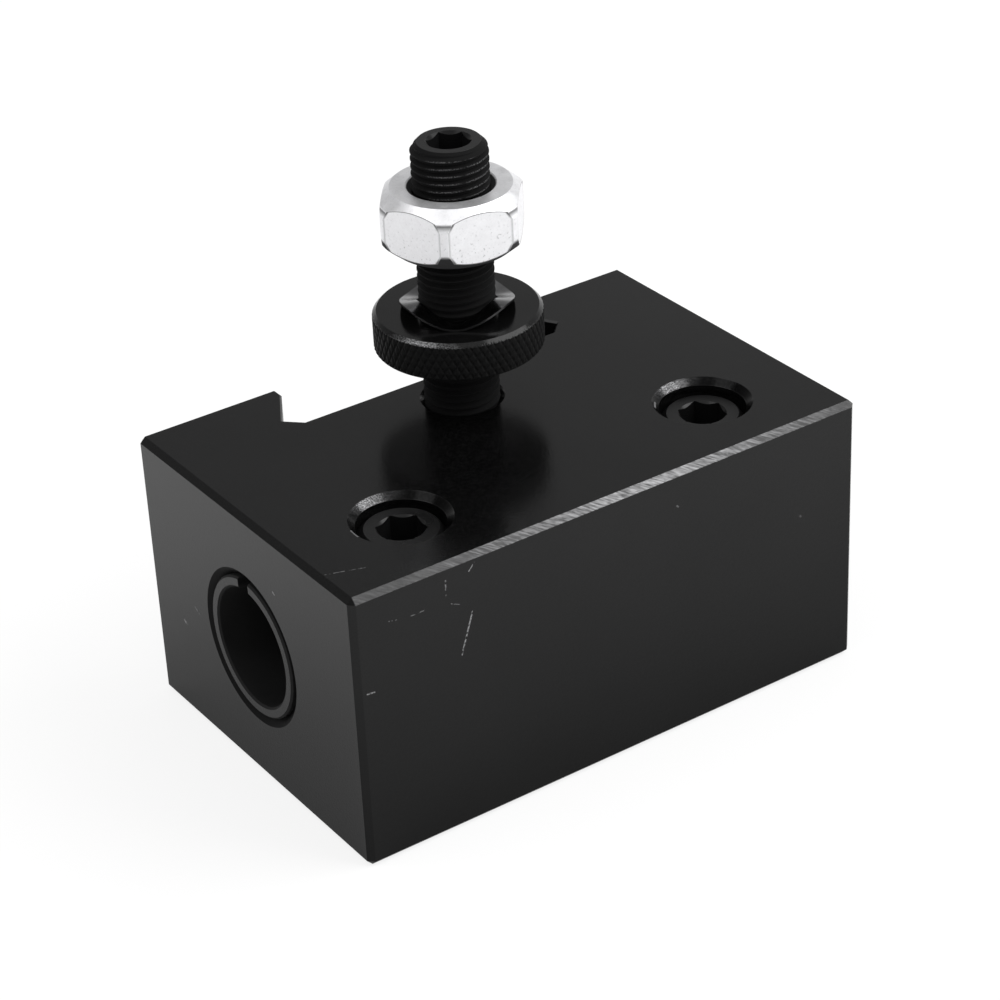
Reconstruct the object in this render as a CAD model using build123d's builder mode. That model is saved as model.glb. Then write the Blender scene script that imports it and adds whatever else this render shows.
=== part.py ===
from build123d import *
import math
import os

# Quick change tool holder for a lathe.
# The origin is the middle of the block's underside. X runs along the bore, Y points to the back with the
# dovetail groove, and Z points up. Everything is in millimetres, and angles are in degrees.

# Block
block_length = 76.2
block_width = 50.2
block_height = 38.2
block_chamfer = 0.75

# Bore along the block, and the split sleeve in it
bore_diameter = 19.05
bore_height = 19.1
bore_mouth_chamfer = 1.08
sleeve_clearance = 0.025
bar_diameter = 15.875
bar_clearance = 0.03
sleeve_edge_chamfer = 0.25
sleeve_slit_width = 2.4
sleeve_slit_turn = 4

# Dovetail groove in the back, from its mouth inwards
groove_mouth_width = 36.0
groove_lip_depth = 2.2
groove_flank_angle = 30
groove_flank_depth = 6.1
groove_corner_flat = 2.05
groove_edge_break = 0.25

# Clamp screws and their tapped holes, with plain cylinders at the thread's crests
screw_from_end = 15.1
screw_before_bore = 12.77
screw_diameter = 11.1
screw_hole_clearance = 0.05
screw_countersink_diameter = 12.9
screw_depth_left = 1.45
screw_depth_right = 1.75
screw_top_chamfer = 0.93
screw_cone_angle = 30
screw_tip_diameter = 6.0
screw_seat_gap = 0.05
screw_hole_reserve = 0.7
screw_socket_across_flats = 5.56
screw_socket_depth = 5.5
screw_socket_mouth_diameter = 6.7
screw_socket_turn_left = 23
screw_socket_turn_right = 11

# Height stud and its tapped hole, with plain cylinders at the thread's crests
stud_groove_wall = 2.05
stud_diameter = 9.8
thread_clearance = 0.05
stud_height_above_block = 35.6
stud_bore_wall = 0.575
stud_hole_reserve = 0.1
stud_countersink_diameter = 11.0
stud_end_chamfer = 0.9
stud_socket_across_flats = 5.0
stud_socket_depth = 5.5
stud_socket_mouth_diameter = 5.95
stud_socket_turn = 22

# Height wheel, with its outside at the crests of the knurl
wheel_diameter = 21.8
wheel_thickness = 5.0
wheel_height_above_block = 7.9
wheel_top_chamfer = 0.55
wheel_bottom_chamfer = 0.2
wheel_hole_chamfer = 0.5

# Wave washer that lies on the wheel
washer_outer_diameter = 14.6
washer_inner_diameter = 10.3
washer_thickness = 0.3
washer_waves = 3
washer_free_height = 1.8
washer_valley_turn = -6
washer_seat_gap = 0.02

# Lock nut
nut_across_flats = 17.0
nut_height = 8.0
nut_height_above_wheel = 8.9
nut_flat_diameter = 15.4
nut_end_cone_angle = 40
nut_shoulder_diameter = 18.6
nut_shoulder_height = 1.1
nut_corner_diameter = 19.16
nut_hole_mouth_diameter = 11.4
nut_turn = 50

# Half the point angle of the drill that made the sockets
drill_point_angle = 59

# Sizes that follow from the ones above
half_length = block_length / 2
back_face = block_width / 2
bore_radius = bore_diameter / 2
sleeve_radius = bore_radius - sleeve_clearance
bar_hole_radius = bar_diameter / 2 + bar_clearance
screw_radius = screw_diameter / 2
screw_hole_radius = screw_radius + screw_hole_clearance
screw_x = half_length - screw_from_end
screw_y = -screw_before_bore
stud_radius = stud_diameter / 2
thread_hole_radius = stud_radius + thread_clearance
groove_lip_x = groove_mouth_width / 2
groove_lip_y = back_face - groove_lip_depth
groove_flank_x = groove_lip_x + groove_flank_depth * math.tan(math.radians(groove_flank_angle))
groove_flank_y = groove_lip_y - groove_flank_depth
groove_floor_x = groove_flank_x - groove_corner_flat
groove_floor_y = groove_flank_y - groove_corner_flat
stud_y = groove_floor_y - stud_groove_wall - thread_hole_radius
stud_hole_floor = bore_height + bore_radius + stud_bore_wall
stud_bottom = stud_hole_floor + stud_hole_reserve
stud_length = block_height + stud_height_above_block - stud_bottom
wheel_bottom = block_height + wheel_height_above_block
wheel_top = wheel_bottom + wheel_thickness
washer_bottom = wheel_top + washer_seat_gap
washer_rise = washer_free_height - washer_thickness
nut_bottom = wheel_top + nut_height_above_wheel

# The screws' conical tips lie along the sleeve's upper front flank. The cone touches the sleeve where the
# sleeve's own radius stands square to the cone, and the deeper screw leaves only the named gap there.
seat_reach = sleeve_radius + screw_seat_gap
seat_height = bore_height + seat_reach * math.sin(math.radians(screw_cone_angle))
seat_screw_radius = -seat_reach * math.cos(math.radians(screw_cone_angle)) - screw_y
cone_slope = math.tan(math.radians(screw_cone_angle))
screw_tip_radius = screw_tip_diameter / 2
screw_tip_height = seat_height - (seat_screw_radius - screw_tip_radius) / cone_slope
screw_cone_length = (screw_radius - screw_tip_radius) / cone_slope
screw_length = block_height - screw_depth_right - screw_tip_height
screw_hole_depth = block_height - screw_tip_height + screw_hole_reserve


def turning_plane(x, y, z):
    """The upright plane through a turned piece's axis, for half of the piece's outline."""
    return Plane(origin=(x, y, z), x_dir=(1, 0, 0), z_dir=(0, -1, 0))


def hexagon_socket(x, y, top, across_flats, depth, mouth_diameter, turn):
    """The space of a hexagon socket that opens upwards, with a chamfered mouth and a drilled bottom."""
    mouth_radius = mouth_diameter / 2
    drill_radius = across_flats / 2
    drill_point = drill_radius / math.tan(math.radians(drill_point_angle))
    with BuildPart() as socket:
        with BuildSketch(Plane((x, y, top))):
            RegularPolygon(drill_radius, 6, major_radius=False, rotation=turn)
        extrude(amount=-depth)
        with BuildSketch(turning_plane(x, y, top)):
            with BuildLine():
                Polyline((0, 0), (mouth_radius, 0), (0, -mouth_radius), close=True)
            make_face()
            with BuildLine():
                Polyline((0, -depth), (drill_radius, -depth), (0, -depth - drill_point), close=True)
            make_face()
        revolve(axis=Axis((x, y, 0), (0, 0, 1)))
    return socket.part


# Holder block
with BuildPart() as holder_block:
    Box(block_length, block_width, block_height, align=(Align.CENTER, Align.CENTER, Align.MIN))
    chamfer(holder_block.edges(), length=block_chamfer)

    with BuildSketch(Plane.XY):
        with BuildLine():
            Polyline(
                (groove_lip_x, back_face),
                (groove_lip_x, groove_lip_y),
                (groove_flank_x, groove_flank_y),
                (groove_floor_x, groove_floor_y),
                (-groove_floor_x, groove_floor_y),
                (-groove_flank_x, groove_flank_y),
                (-groove_lip_x, groove_lip_y),
                (-groove_lip_x, back_face),
                close=True,
            )
        make_face()
    extrude(amount=block_height, mode=Mode.SUBTRACT)
    groove_mouth_edges = holder_block.edges().filter_by(Axis.Z).filter_by(
        lambda edge: abs(edge.center().Y - back_face) < groove_edge_break
        and abs(abs(edge.center().X) - groove_lip_x) < groove_edge_break
    )
    groove_end_edges = holder_block.edges().filter_by(
        lambda edge: min(edge.center().Z, block_height - edge.center().Z) < groove_edge_break / 2
        and groove_floor_y - groove_edge_break < edge.center().Y < back_face - block_chamfer
        and abs(edge.center().X) <= groove_flank_x
    )
    chamfer(groove_mouth_edges + groove_end_edges, length=groove_edge_break)

    with BuildSketch(Plane.YZ.offset(-half_length)):
        with Locations((0, bore_height)):
            Circle(bore_radius)
    extrude(amount=block_length, mode=Mode.SUBTRACT)
    bore_mouths = holder_block.edges().filter_by(GeomType.CIRCLE).filter_by(
        lambda edge: abs(edge.radius - bore_radius) < bore_mouth_chamfer / 2
    )
    chamfer(bore_mouths, length=bore_mouth_chamfer)

    with Locations((0, screw_y, block_height)):
        with GridLocations(2 * screw_x, 0, 2, 1):
            CounterSinkHole(
                screw_hole_radius,
                screw_countersink_diameter / 2,
                depth=screw_hole_depth,
                counter_sink_angle=90,
            )
    with Locations((0, stud_y, block_height)):
        CounterSinkHole(
            stud_radius + thread_clearance,
            stud_countersink_diameter / 2,
            depth=block_height - stud_hole_floor,
            counter_sink_angle=90,
        )
holder_block.part.label = "holder_block"

# Split sleeve
with BuildPart() as split_sleeve:
    with BuildSketch(Plane.YZ.offset(-half_length)):
        with Locations((0, bore_height)):
            Circle(sleeve_radius)
            Circle(bar_hole_radius, mode=Mode.SUBTRACT)
    extrude(amount=block_length)
    chamfer(split_sleeve.edges().filter_by(GeomType.CIRCLE), length=sleeve_edge_chamfer)
    with BuildSketch(Plane.YZ.offset(-half_length)):
        with Locations(Location((0, bore_height), -sleeve_slit_turn)):
            Rectangle(sleeve_slit_width, bore_radius, align=(Align.CENTER, Align.MIN))
    extrude(amount=block_length, mode=Mode.SUBTRACT)
split_sleeve.part.label = "split_sleeve"

# Clamp screws, the same screw twice
clamp_screws = []
for side, place_x, screw_depth, socket_turn in (
    ("left", -screw_x, screw_depth_left, screw_socket_turn_left),
    ("right", screw_x, screw_depth_right, screw_socket_turn_right),
):
    screw_top = block_height - screw_depth
    with BuildPart() as clamp_screw:
        with BuildSketch(turning_plane(place_x, screw_y, screw_top)):
            with BuildLine():
                Polyline(
                    (0, 0),
                    (screw_radius - screw_top_chamfer, 0),
                    (screw_radius, -screw_top_chamfer),
                    (screw_radius, screw_cone_length - screw_length),
                    (screw_tip_radius, -screw_length),
                    (0, -screw_length),
                    close=True,
                )
            make_face()
        revolve(axis=Axis((place_x, screw_y, 0), (0, 0, 1)))
        socket = hexagon_socket(
            place_x,
            screw_y,
            screw_top,
            screw_socket_across_flats,
            screw_socket_depth,
            screw_socket_mouth_diameter,
            socket_turn,
        )
        add(socket, mode=Mode.SUBTRACT)
    clamp_screw.part.label = f"clamp_screw_{side}"
    clamp_screws.append(clamp_screw.part)

# Height stud
with BuildPart() as height_stud:
    with Locations((0, stud_y, stud_bottom)):
        Cylinder(stud_radius, stud_length, align=(Align.CENTER, Align.CENTER, Align.MIN))
    chamfer(height_stud.edges().filter_by(GeomType.CIRCLE), length=stud_end_chamfer)
    socket = hexagon_socket(
        0,
        stud_y,
        stud_bottom + stud_length,
        stud_socket_across_flats,
        stud_socket_depth,
        stud_socket_mouth_diameter,
        stud_socket_turn,
    )
    add(socket, mode=Mode.SUBTRACT)
height_stud.part.label = "height_stud"

# Height wheel
with BuildPart() as height_wheel:
    with Locations((0, stud_y, wheel_bottom)):
        Cylinder(wheel_diameter / 2, wheel_thickness, align=(Align.CENTER, Align.CENTER, Align.MIN))
    rims = height_wheel.edges().filter_by(GeomType.CIRCLE).sort_by(Axis.Z)
    chamfer(rims[-1], length=wheel_top_chamfer)
    chamfer(rims[0], length=wheel_bottom_chamfer)
    with Locations((0, stud_y, wheel_top)):
        Hole(thread_hole_radius, depth=wheel_thickness)
    hole_edges = height_wheel.edges().filter_by(GeomType.CIRCLE).sort_by(SortBy.RADIUS)[:2]
    chamfer(hole_edges, length=wheel_hole_chamfer)
height_wheel.part.label = "height_wheel"


def wave_edge(radius):
    """One edge of the wave washer's underside: a circle that goes from valley to crest and back again."""
    half_waves = 2 * washer_waves
    arc = 2 * math.pi / half_waves
    step_length = math.hypot(2 * radius * math.sin(arc / 2), washer_rise)
    points = []
    level_tangents = []
    for step in range(half_waves):
        angle = step * arc + math.radians(washer_valley_turn)
        lift = washer_rise * (step % 2)
        points.append((radius * math.cos(angle), stud_y + radius * math.sin(angle), washer_bottom + lift))
        level_tangents.append((-math.sin(angle), math.cos(angle), 0))
    # A tangent of this length, counted in steps, keeps each span of the curve round in plan.
    tangent_length = 4 * math.tan(arc / 4) * radius / step_length
    with BuildLine() as wave:
        Spline(*points, tangents=level_tangents, tangent_scalars=[tangent_length] * half_waves, periodic=True)
    return wave.edge()


# Wave washer, a thin ring whose every radius stays level
washer_underside = Face.make_surface_from_curves(
    wave_edge(washer_inner_diameter / 2), wave_edge(washer_outer_diameter / 2)
)
with BuildPart() as wave_washer:
    extrude(washer_underside, amount=washer_thickness, dir=(0, 0, 1))
wave_washer.part.label = "wave_washer"

# Lock nut: a hexagon whose corners are turned off, with a shallow cone and then a steep shoulder at both ends
nut_flat_radius = nut_flat_diameter / 2
nut_shoulder_radius = nut_shoulder_diameter / 2
nut_corner_radius = nut_corner_diameter / 2
nut_cone_height = (nut_shoulder_radius - nut_flat_radius) * math.tan(math.radians(nut_end_cone_angle))
nut_corner_start = nut_cone_height + nut_shoulder_height
nut_mouth_chamfer = nut_hole_mouth_diameter / 2 - thread_hole_radius
with BuildPart() as lock_nut:
    with BuildSketch(Plane((0, stud_y, nut_bottom))):
        RegularPolygon(nut_across_flats / 2, 6, major_radius=False, rotation=nut_turn)
    extrude(amount=nut_height)
    with BuildSketch(turning_plane(0, stud_y, nut_bottom)):
        with BuildLine():
            Polyline(
                (0, 0),
                (nut_flat_radius, 0),
                (nut_shoulder_radius, nut_cone_height),
                (nut_corner_radius, nut_corner_start),
                (nut_corner_radius, nut_height - nut_corner_start),
                (nut_shoulder_radius, nut_height - nut_cone_height),
                (nut_flat_radius, nut_height),
                (0, nut_height),
                close=True,
            )
        make_face()
    revolve(axis=Axis((0, stud_y, 0), (0, 0, 1)), mode=Mode.INTERSECT)
    with Locations((0, stud_y, nut_bottom + nut_height)):
        Hole(thread_hole_radius, depth=nut_height)
    hole_edges = lock_nut.edges().filter_by(GeomType.CIRCLE).sort_by(SortBy.RADIUS)[:2]
    chamfer(hole_edges, length=nut_mouth_chamfer)
lock_nut.part.label = "lock_nut"

# One file for each piece
os.makedirs("parts", exist_ok=True)
export_step(holder_block.part, "parts/holder_block.step")
export_step(split_sleeve.part, "parts/split_sleeve.step")
for screw in clamp_screws:
    export_step(screw, f"parts/{screw.label}.step")
export_step(height_stud.part, "parts/height_stud.step")
export_step(height_wheel.part, "parts/height_wheel.step")
export_step(wave_washer.part, "parts/wave_washer.step")
export_step(lock_nut.part, "parts/lock_nut.step")
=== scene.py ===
# %% [markdown]
# A quick change tool holder for a lathe, dressed for its photograph.
# The real object is a black steel block with a dovetail groove in its back and a split sleeve in its bore.
# Two clamp screws press on the sleeve. A threaded stud carries a knurled wheel, a wave washer and a lock nut.
# The solids come from the CAD model, already in place and in metres. This lesson adds the camera, the light,
# the threads, the knurl and the finishes, one step at a time.

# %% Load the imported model
import bmesh
import bpy
import math
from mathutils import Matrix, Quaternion, Vector


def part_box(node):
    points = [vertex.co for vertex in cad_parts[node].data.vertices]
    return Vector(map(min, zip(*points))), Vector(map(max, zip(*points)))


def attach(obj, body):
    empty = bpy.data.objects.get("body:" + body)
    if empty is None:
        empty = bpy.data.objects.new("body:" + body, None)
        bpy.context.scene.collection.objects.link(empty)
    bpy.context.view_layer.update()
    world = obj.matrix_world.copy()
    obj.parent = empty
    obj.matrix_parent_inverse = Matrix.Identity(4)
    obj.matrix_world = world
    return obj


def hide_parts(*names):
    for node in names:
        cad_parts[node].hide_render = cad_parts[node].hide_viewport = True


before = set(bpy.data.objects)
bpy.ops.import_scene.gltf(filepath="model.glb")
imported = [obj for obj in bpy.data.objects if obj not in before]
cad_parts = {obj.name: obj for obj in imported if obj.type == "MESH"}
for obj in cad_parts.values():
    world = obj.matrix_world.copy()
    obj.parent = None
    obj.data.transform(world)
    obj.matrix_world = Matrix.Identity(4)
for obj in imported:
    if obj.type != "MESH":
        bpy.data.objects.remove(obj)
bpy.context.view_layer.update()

# %% [markdown]
# All the sizes below are written in millimetres, as in the CAD source, and one factor turns them to metres.
# The pieces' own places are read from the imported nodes, so that a change in the CAD model moves the finishes too.

# %% Sizes that the pieces share
MM = 0.001
block_low, block_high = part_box("holder_block")
stud_low, stud_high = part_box("height_stud")
wheel_low, wheel_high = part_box("height_wheel")
nut_low, nut_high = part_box("lock_nut")
block_left, block_front, block_top = block_low.x / MM, block_low.y / MM, block_high.z / MM
bore_height = 19.1
stud_y = (stud_low.y + stud_high.y) / 2 / MM
stud_axis = (0, stud_y, 0)
print("block top", round(block_top, 3), "stud axis at y", round(stud_y, 3))

# %% [markdown]
# The camera stands where the photographer stood. Its place, its aim and its small roll were solved from the
# block's corners in the photograph, with the block taken as three inches long. A long lens keeps the edges
# almost parallel, as they are there.

# %% The camera
PICTURE_PIXELS = 1000
camera_place = Vector((-180.60, -271.32, 217.46)) * MM
camera_aim = Vector((-0.13, 0.0, 26.21)) * MM
camera_roll = math.radians(-2.7357)
camera_data = bpy.data.cameras.new("photo_camera")
camera_data.sensor_width = 36
camera_data.lens = 105.73
camera_data.clip_start = 0.01
camera = bpy.data.objects.new("photo_camera", camera_data)
bpy.context.scene.collection.objects.link(camera)
camera_turn = (camera_aim - camera_place).to_track_quat("-Z", "Y") @ Quaternion((0, 0, 1), camera_roll)
camera.location = camera_place
camera.rotation_euler = camera_turn.to_euler()
bpy.context.scene.camera = camera
bpy.context.scene.view_settings.view_transform = "Standard"


def photo_pixel(point):
    """Where a point, in metres, falls in the square picture."""
    seen = camera_turn.inverted() @ (Vector(point) - camera_place)
    reach = camera_data.lens / camera_data.sensor_width * PICTURE_PIXELS / -seen.z
    middle = PICTURE_PIXELS / 2
    return round(middle + reach * seen.x, 1), round(middle - reach * seen.y, 1)


print("block's left back top corner at", photo_pixel((block_low.x, block_high.y, block_high.z)))
print("block's left front bottom corner at", photo_pixel((block_low.x, block_low.y, 0)))

# %% [markdown]
# Every finish is a small network of nodes. These helpers only save typing: one adds a node and sets or links
# its inputs, a few do sums, and one turns a range of values into another. The same helpers serve the geometry
# trees further down, because both kinds of tree share these nodes.

# %% Helpers that add nodes


def add_node(tree, kind, inputs=None, **settings):
    """Adds a node. An input that is given a socket is linked to it, and any other value is set."""
    node = tree.nodes.new(kind)
    for name, value in settings.items():
        setattr(node, name, value)
    for key, value in (inputs or {}).items():
        if isinstance(value, bpy.types.NodeSocket):
            tree.links.new(value, node.inputs[key])
        else:
            node.inputs[key].default_value = value
    return node


def vector_math(tree, operation, inputs):
    """One Vector Math node."""
    return add_node(tree, "ShaderNodeVectorMath", inputs, operation=operation)


def noise(tree, place, scale, detail=2.0):
    """The value of a Noise node."""
    return add_node(tree, "ShaderNodeTexNoise", {"Vector": place, "Scale": scale, "Detail": detail}).outputs[0]


def blend_colors(tree, share, first, second):
    """Mixes two colours by a share that changes over the surface."""
    return add_node(tree, "ShaderNodeMix", {0: share, 6: first, 7: second}, data_type="RGBA").outputs[2]


def grey(level):
    """A neutral colour of this level in linear light, with a touch of blue."""
    return (level, level, level * 1.02, 1.0)


# %% Helpers that do sums


def sum_of(tree, operation, *values, clamp=False):
    """One Math node with these values."""
    node = add_node(tree, "ShaderNodeMath", dict(enumerate(values)), operation=operation, use_clamp=clamp)
    return node.outputs[0]


def chain(tree, operation, values):
    """Joins several values by one operation, with a Math node for each step."""
    joined = values[0]
    for value in values[1:]:
        joined = sum_of(tree, operation, joined, value)
    return joined


def total(tree, *values):
    """All the values added up."""
    return chain(tree, "ADD", values)


def product(tree, *values):
    """All the values multiplied with each other."""
    return chain(tree, "MULTIPLY", values)


def largest(tree, *values):
    """The largest of the values. It joins masks, so that a point is in one if it is in any of them."""
    return chain(tree, "MAXIMUM", values)


def smallest(tree, *values):
    """The smallest of the values."""
    return chain(tree, "MINIMUM", values)


def spread(tree, value, low, high, to_low=0.0, to_high=1.0):
    """Turns low..high into to_low..to_high, and stops at both ends."""
    inputs = {"Value": value, "From Min": low, "From Max": high, "To Min": to_low, "To Max": to_high}
    return add_node(tree, "ShaderNodeMapRange", inputs).outputs["Result"]


def fade(tree, length, low, high, to_low=1.0, to_high=0.0):
    """A spread over a length, with its range in millimetres. It fades out unless it is told otherwise."""
    return spread(tree, length, low * MM, high * MM, to_low, to_high)


# %% Helpers for groups
FLOAT, VECTOR = "NodeSocketFloat", "NodeSocketVector"


def new_group(name, inputs, outputs, kind="ShaderNodeTree"):
    """A node group with named sockets. Returns its tree, what it is given and what it puts out."""
    group = bpy.data.node_groups.new(name, kind)
    for socket_name, socket_kind in inputs:
        group.interface.new_socket(name=socket_name, in_out="INPUT", socket_type=socket_kind)
    for socket_name, socket_kind in outputs:
        group.interface.new_socket(name=socket_name, in_out="OUTPUT", socket_type=socket_kind)
    return group, group.nodes.new("NodeGroupInput").outputs, group.nodes.new("NodeGroupOutput").inputs


def place_group(tree, group, inputs):
    """Puts a group into a material with its own values."""
    return add_node(tree, "ShaderNodeGroup", inputs, node_tree=group)


# %% [markdown]
# Black oxide is a thin film on ground steel, so its tone wanders softly and a fine tooth shows in its gloss.
# Two shared groups give that: one puts out a slow cloud and a fine speckle, the other a stroke pattern, which
# is noise that has been pulled long in one direction, like the marks of a grinding belt. Noise seldom leaves
# the middle of its range, so each is spread out until it fills the range from 0 to 1.

# %% Shared groups for cloud, speckle and strokes
noise_low, noise_high = 0.3, 0.7
cloud_group, given, result = new_group(
    "oxide_cloud",
    [("Vector", VECTOR), ("Cloud Scale", FLOAT), ("Speckle Scale", FLOAT)],
    [("Cloud", FLOAT), ("Speckle", FLOAT)],
)
point, cloud_scale, speckle_scale = given[:3]
cloud = noise(cloud_group, point, cloud_scale, 3.0)
speckle = noise(cloud_group, point, speckle_scale)
cloud_group.links.new(spread(cloud_group, cloud, noise_low, noise_high), result["Cloud"])
cloud_group.links.new(spread(cloud_group, speckle, noise_low, noise_high), result["Speckle"])

stroke_low, stroke_high = 0.25, 0.75
stroke_group, given, result = new_group(
    "grinding_strokes", [("Vector", VECTOR), ("Pull", VECTOR), ("Scale", FLOAT)], [("Strokes", FLOAT)]
)
point, pull, stroke_scale = given[:3]
pulled = vector_math(stroke_group, "MULTIPLY", {0: point, 1: pull}).outputs[0]
strokes = noise(stroke_group, pulled, stroke_scale, 4.0)
stroke_group.links.new(spread(stroke_group, strokes, stroke_low, stroke_high), result["Strokes"])
print("groups:", [group.name for group in bpy.data.node_groups])

# %% [markdown]
# A scratch is a thin line where the black film is gone. The group measures how far each point is from a line
# between two points on the surface, and keeps what is nearer than the scratch's half width. A little noise
# breaks the line up, because a real scratch skips.

# %% Shared group for one scratch
skip_scale, skip_edge = 2500.0, 0.08
full_line = 0.6
scratch_group, given, result = new_group(
    "scratch",
    [("Vector", VECTOR), ("Start", VECTOR), ("End", VECTOR), ("Half Width", FLOAT), ("Skips", FLOAT)],
    [("Mask", FLOAT)],
)
point, line_start, line_end, line_half_width, skip_level = given[:5]
from_start = vector_math(scratch_group, "SUBTRACT", {0: point, 1: line_start}).outputs[0]
whole = vector_math(scratch_group, "SUBTRACT", {0: line_end, 1: line_start}).outputs[0]
along = vector_math(scratch_group, "DOT_PRODUCT", {0: from_start, 1: whole}).outputs["Value"]
length_squared = vector_math(scratch_group, "DOT_PRODUCT", {0: whole, 1: whole}).outputs["Value"]
share = sum_of(scratch_group, "DIVIDE", along, length_squared, clamp=True)
nearest = vector_math(scratch_group, "SCALE", {0: whole, "Scale": share}).outputs[0]
aside = vector_math(scratch_group, "DISTANCE", {0: from_start, 1: nearest}).outputs["Value"]
past_skip = sum_of(scratch_group, "SUBTRACT", noise(scratch_group, point, skip_scale), skip_level)
kept = spread(scratch_group, past_skip, 0.0, skip_edge)
line = spread(scratch_group, sum_of(scratch_group, "DIVIDE", aside, line_half_width), full_line, 1.0, 1.0, 0.0)
scratch_group.links.new(product(scratch_group, line, kept), result["Mask"])
print("scratch group:", len(scratch_group.nodes), "nodes")

# %% [markdown]
# Countersinks, bore mouths and sleeve ends are all turned round an axis, so a ring of the surface picks them
# out. The group measures how far a point is from the axis and keeps what lies between two radii. The axis's
# own direction is dropped by multiplying it with zero.

# %% Shared group for a ring round an axis
ring_group, given, result = new_group(
    "ring_round_axis",
    [("Vector", VECTOR), ("Centre", VECTOR), ("Across", VECTOR), ("Inner", FLOAT), ("Outer", FLOAT), ("Soft", FLOAT)],
    [("Mask", FLOAT), ("Radius", FLOAT)],
)
point, axis_place, across, inner, outer, soft = given[:6]
from_axis = vector_math(ring_group, "SUBTRACT", {0: point, 1: axis_place}).outputs[0]
flattened = vector_math(ring_group, "MULTIPLY", {0: from_axis, 1: across}).outputs[0]
radius = vector_math(ring_group, "LENGTH", {0: flattened}).outputs["Value"]
past_inner = spread(ring_group, radius, sum_of(ring_group, "SUBTRACT", inner, soft), inner)
before_outer = spread(ring_group, radius, outer, total(ring_group, outer, soft), 1.0, 0.0)
ring_group.links.new(product(ring_group, past_inner, before_outer), result["Mask"])
ring_group.links.new(radius, result["Radius"])
UPRIGHT, ALONG_BORE = (1, 1, 0), (0, 1, 1)
print("ring group:", len(ring_group.nodes), "nodes")


def ring(tree, place, centre, across, inner, outer, soft=0.04):
    """The mask of one ring, with sizes in millimetres."""
    inputs = {"Vector": place, "Centre": Vector(centre) * MM, "Across": across}
    inputs.update({"Inner": inner * MM, "Outer": outer * MM, "Soft": soft * MM})
    return place_group(tree, ring_group, inputs).outputs["Mask"]


def band(tree, place, centre, inner, outer, lowest, highest, soft=0.04):
    """The mask of an upright ring between two heights, with sizes in millimetres."""
    height = add_node(tree, "ShaderNodeSeparateXYZ", {0: place}).outputs[2]
    above = sum_of(tree, "GREATER_THAN", height, lowest * MM)
    below = sum_of(tree, "LESS_THAN", height, highest * MM)
    return product(tree, ring(tree, place, centre, UPRIGHT, inner, outer, soft), above, below)


# %% [markdown]
# Each finish is one Principled shader, because that is what a model can be exported with. What is the same all
# over a piece is set on the shader's own sockets. What changes over its surface is linked to them.

# %% Start a material


def new_material(name):
    """A material with one Principled shader. Returns the material, its tree, the shader and its coordinates."""
    material = bpy.data.materials.new(name)
    material.use_nodes = True
    tree = material.node_tree
    tree.nodes.clear()
    shader = tree.nodes.new("ShaderNodeBsdfPrincipled")
    output = tree.nodes.new("ShaderNodeOutputMaterial")
    tree.links.new(shader.outputs[0], output.inputs[0])
    place = tree.nodes.new("ShaderNodeTexCoord").outputs["Object"]
    return material, tree, shader, place


def feed(tree, shader, color, roughness, metallic, tooth, tooth_depth):
    """Links what changes over the surface to the shader. A metallic of None leaves the shader's own value.
    The tooth is a bump, with its depth in millimetres."""
    for name, value in (("Base Color", color), ("Roughness", roughness), ("Metallic", metallic)):
        if value is not None:
            tree.links.new(value, shader.inputs[name])
    bump = add_node(tree, "ShaderNodeBump", {"Height": tooth, "Distance": tooth_depth * MM, "Strength": 1.0})
    tree.links.new(bump.outputs[0], shader.inputs["Normal"])


# %% [markdown]
# The block's finish. The film is nearly black and satin, with a fine grain in its tone, and a grey Specular
# Tint takes some of its mirror image away. The long chamfer above the front face is rubbed down to bare steel
# in strokes that slant across it, and a few scratches and specks show bare steel too. A picture could hold all
# this, but masks made from places and noise stay sharp at any size and need no unwrapping.

# %% The block's black oxide
block_finish, tree, shader, place = new_material("block_black_oxide")
shader.inputs["Specular IOR Level"].default_value = 0.335
shader.inputs["Specular Tint"].default_value = (0.75, 0.75, 0.75, 1.0)
film_darkest, film_lightest = grey(0.0012), grey(0.0085)
grain_scale, grain_strength, cloud_strength = 3600.0, 0.85, 0.15
clouds = place_group(tree, cloud_group, {"Vector": place, "Cloud Scale": 60.0, "Speckle Scale": 2600.0})
film_grain = spread(tree, noise(tree, place, grain_scale), 0.45, 0.78, 0.0, grain_strength)
black_share = total(tree, film_grain, product(tree, clouds.outputs["Cloud"], cloud_strength))
black = blend_colors(tree, black_share, film_darkest, film_lightest)
x_side, y_side, z_side = add_node(tree, "ShaderNodeSeparateXYZ", {0: place}).outputs
print("block finish has", len(tree.nodes), "nodes so far")

# %% [markdown]
# The chamfer lies at 45 degrees between the front and the top, so height less depth is largest on it and the
# same all along it. A point counts as on the chamfer where that value is nearly at its largest. A little noise
# frays the mask's edges. The strokes are pulled along X and then leaned over, about the way the chamfer faces.

# %% The rubbed chamfer's mask and its strokes
block_chamfer = 0.75
fringe_scale, fringe_reach = 900.0, 0.04
frayed_from, bare_from = 0.08, 0.02
chamfer_facing, strokes_lean = (0.0, -1.0, 1.0), math.radians(34)
stroke_pull, stroke_scale = (1.0, 8.0, 8.0), 540.0

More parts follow.
